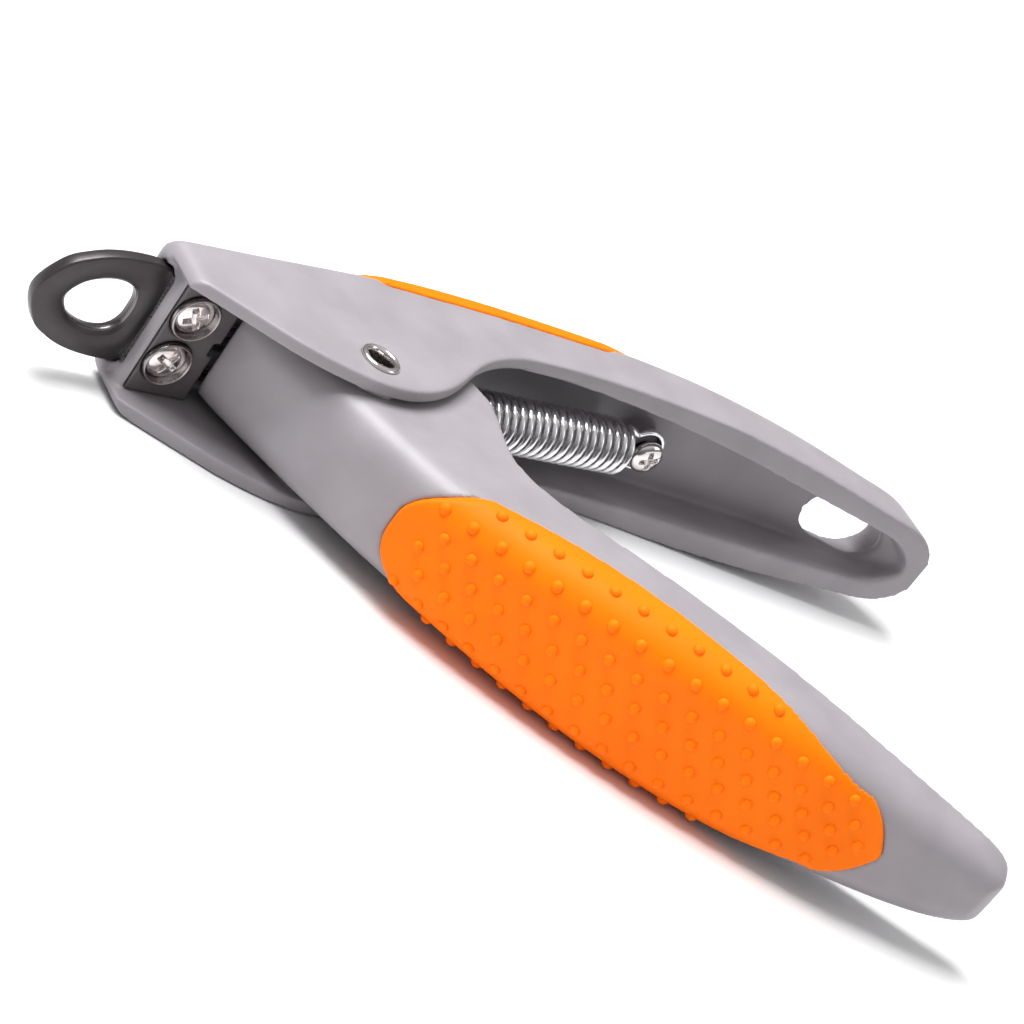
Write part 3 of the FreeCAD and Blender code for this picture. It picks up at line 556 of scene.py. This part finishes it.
ANCHOR_X, ANCHOR_SEAT = 59.9, 8.9
pan_screw("spring_screw_detail", "spring_screw", at(ANCHOR_X, ANCHOR_SEAT, MID), radius=2.6,
          height=1.6, shank=1.35, tip=6.3, turn=0.3)

# The rivet's section: up its bore, over the roll at the top, down its outside and over the other.
ROLL = [(1.78, 0.4), (1.78, 21.6), (1.85, 22.1), (2.02, 22.4), (2.28, 22.5), (2.55, 22.42),
        (2.74, 22.25), (2.8, 22.03), (2.2, 22.0), (2.2, 0.66), (2.8, 0.62), (2.74, 0.35),
        (2.5, 0.16), (2.2, 0.1), (1.9, 0.2)]
new_piece("pivot_rivet_detail", *lathe(ROLL, PIVOT, UP, REARWARD), [BRIGHT], "frame",
          "bright_steel", "pivot_rivet")


# ---------------------------------------------------------------- return spring

PIN, ANCHOR = Vector((9.0, 8.0, MID)), Vector((ANCHOR_X, ANCHOR_SEAT + 0.5, MID))
WIRE, MEAN, TURNS, TURN_STEPS = 0.46, 3.62, 26, 20
PIN_REACH, ANCHOR_REACH = 6.6, 5.6          # from each loop's middle to its end of the coil
PIN_LOOP = 1.62
ANCHOR_LOOP, LOOP_OFFSET = 3.2, Vector((-0.6, 0, 0.4))
HOOK_STEPS = 6


def wound_coil(along, start, stop):
    """The coil's wire, wound round the direction along from start to stop."""
    sideways = along.cross(UP)
    points = []
    for k in range(TURNS * TURN_STEPS + 1):
        turn = 2 * math.pi * k / TURN_STEPS + math.pi / 2
        centre = start.lerp(stop, k / (TURNS * TURN_STEPS))
        points.append(centre + (sideways * math.cos(turn) + UP * math.sin(turn)) * MEAN)
    return points


def spring_path():
    """The whole wire: a loop on the lever's pin, the coil, and a loop on the anchor screw."""
    along = (ANCHOR - PIN).normalized()
    coil = wound_coil(along, PIN + along * PIN_REACH, ANCHOR - along * ANCHOR_REACH)
    front = [PIN + Vector((math.cos(a), math.sin(a), 0)) * PIN_LOOP
             for a in (math.radians(30 + 20 * k) for k in range(15))]
    rear = [ANCHOR + LOOP_OFFSET + Vector((math.cos(a), 0, math.sin(a))) * ANCHOR_LOOP
            for a in (math.radians(138 - 12 * k) for k in range(24))]
    into_coil = bend([front[-1], front[-1].lerp(coil[0], 0.5), coil[0]], HOOK_STEPS)
    out_of_coil = bend([coil[-1], coil[-1] + (rear[0] - coil[-1]) * 0.45 + UP * 0.15, rear[0]],
                       HOOK_STEPS)
    return front[:-1] + into_coil[:-1] + coil[:-1] + out_of_coil + rear[1:]


spring = new_piece("return_spring_wire", *tube([at(*p) for p in spring_path()], WIRE * MM),
                   [SPRING], None, "bright_steel", "return_spring")
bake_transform(spring)


# ---------------------------------------------------------------- floor, light and camera

TABLE_REACH, TABLE_DROP = 3.0, 0.0001        # metres; it lies just under the trimmer
GLOW_FROM, GLOW_FULL, GLOW = 0.22, 0.80, 0.90    # metres from the middle, then the strength


def glow_far(mat):
    """Let a surface glow a little far from its middle, so that it stays white from every side."""
    tree, shader = mat.node_tree, main_shader(mat)
    coords = tree.nodes.new("ShaderNodeTexCoord")
    length = tree.nodes.new("ShaderNodeVectorMath")
    length.operation = "LENGTH"
    glow = tree.nodes.new("ShaderNodeMapRange")
    glow.inputs["From Min"].default_value = GLOW_FROM
    glow.inputs["From Max"].default_value = GLOW_FULL
    glow.inputs["To Max"].default_value = GLOW
    link(tree, coords, "Object", length, 0)
    link(tree, length, "Value", glow, "Value")
    link(tree, glow, "Result", shader, "Emission Strength")
    shader.inputs["Emission Color"].default_value = (1, 1, 1, 1)


def lay_table():
    """The pale table top that the trimmer lies on."""
    mat = surface("pale_table", dark=(0.86, 0.86, 0.87), light=(0.88, 0.88, 0.885),
                  rough=(0.22, 0.27), grain=900.0, depth=0.000004, mottle=12.0)
    mesh = bpy.data.meshes.new("table_top")
    corners = [(x * TABLE_REACH, y * TABLE_REACH, 0)
               for x, y in ((-1, -1), (1, -1), (1, 1), (-1, 1))]
    mesh.from_pydata(corners, [], [(0, 1, 2, 3)])
    mesh.materials.append(mat)
    table = placed("table_top", mesh)
    table.location.z = -TABLE_DROP
    glow_far(mat)


def studio_sky():
    """A white band at the horizon, a dark one above it for the metal, and a bright zenith."""
    world = bpy.data.worlds.new("studio")
    world.use_nodes = True
    tree = world.node_tree
    coords = tree.nodes.new("ShaderNodeTexCoord")
    split = tree.nodes.new("ShaderNodeSeparateXYZ")
    ramp = tree.nodes.new("ShaderNodeValToRGB")
    bands = ramp.color_ramp.elements
    bands[0].position = 0.06
    bands[0].color = (1, 1, 1, 1)
    bands[1].position = 0.75
    bands[1].color = (0.62, 0.62, 0.62, 1)
    bands.new(0.12).color = (0.10, 0.097, 0.097, 1)
    link(tree, coords, "Generated", split, "Vector")
    link(tree, split, "Z", ramp, "Fac")
    link(tree, ramp, "Color", tree.nodes["Background"], "Color")
    tree.nodes["Background"].inputs["Strength"].default_value = 1.0
    bpy.context.scene.world = world


def softbox(name, spot, aim, size, power):
    """A square area light at spot, turned towards aim."""
    data = bpy.data.lights.new(name, "AREA")
    data.shape = "RECTANGLE"
    data.size, data.size_y = size
    data.energy = power
    lamp = placed(name, data)
    lamp.location = spot
    lamp.rotation_euler = (Vector(aim) - Vector(spot)).to_track_quat("-Z", "Y").to_euler()


CAMERA_FROM_PIVOT = Vector((-0.22855, -0.24718, 0.18117))


def aim_camera():
    """A camera that sees the trimmer as the photograph does, placed from the pivot."""
    right, up = Vector((0.7406, -0.4052, 0.5362)), Vector((-0.1498, 0.6783, 0.7195))
    back = Vector((-0.6552, -0.6131, 0.4415))
    data = bpy.data.cameras.new("camera")
    data.sensor_width = 36.0
    data.lens = 105.47
    data.clip_start = 0.01
    camera = placed("camera", data)
    turned = Matrix((right, up, back)).transposed().to_4x4()
    camera.matrix_world = Matrix.Translation(PIVOT + CAMERA_FROM_PIVOT) @ turned
    bpy.context.scene.camera = camera


lay_table()
studio_sky()
softbox("key", spot=(-0.25, 0.25, 0.85), aim=(0, 0, 0), size=(0.55, 0.55), power=15.0)
softbox("fill", spot=(0.7, -0.5, 0.5), aim=(0, 0, 0.01), size=(0.5, 0.5), power=1.2)
aim_camera()
bpy.context.scene.view_settings.view_transform = "Standard"
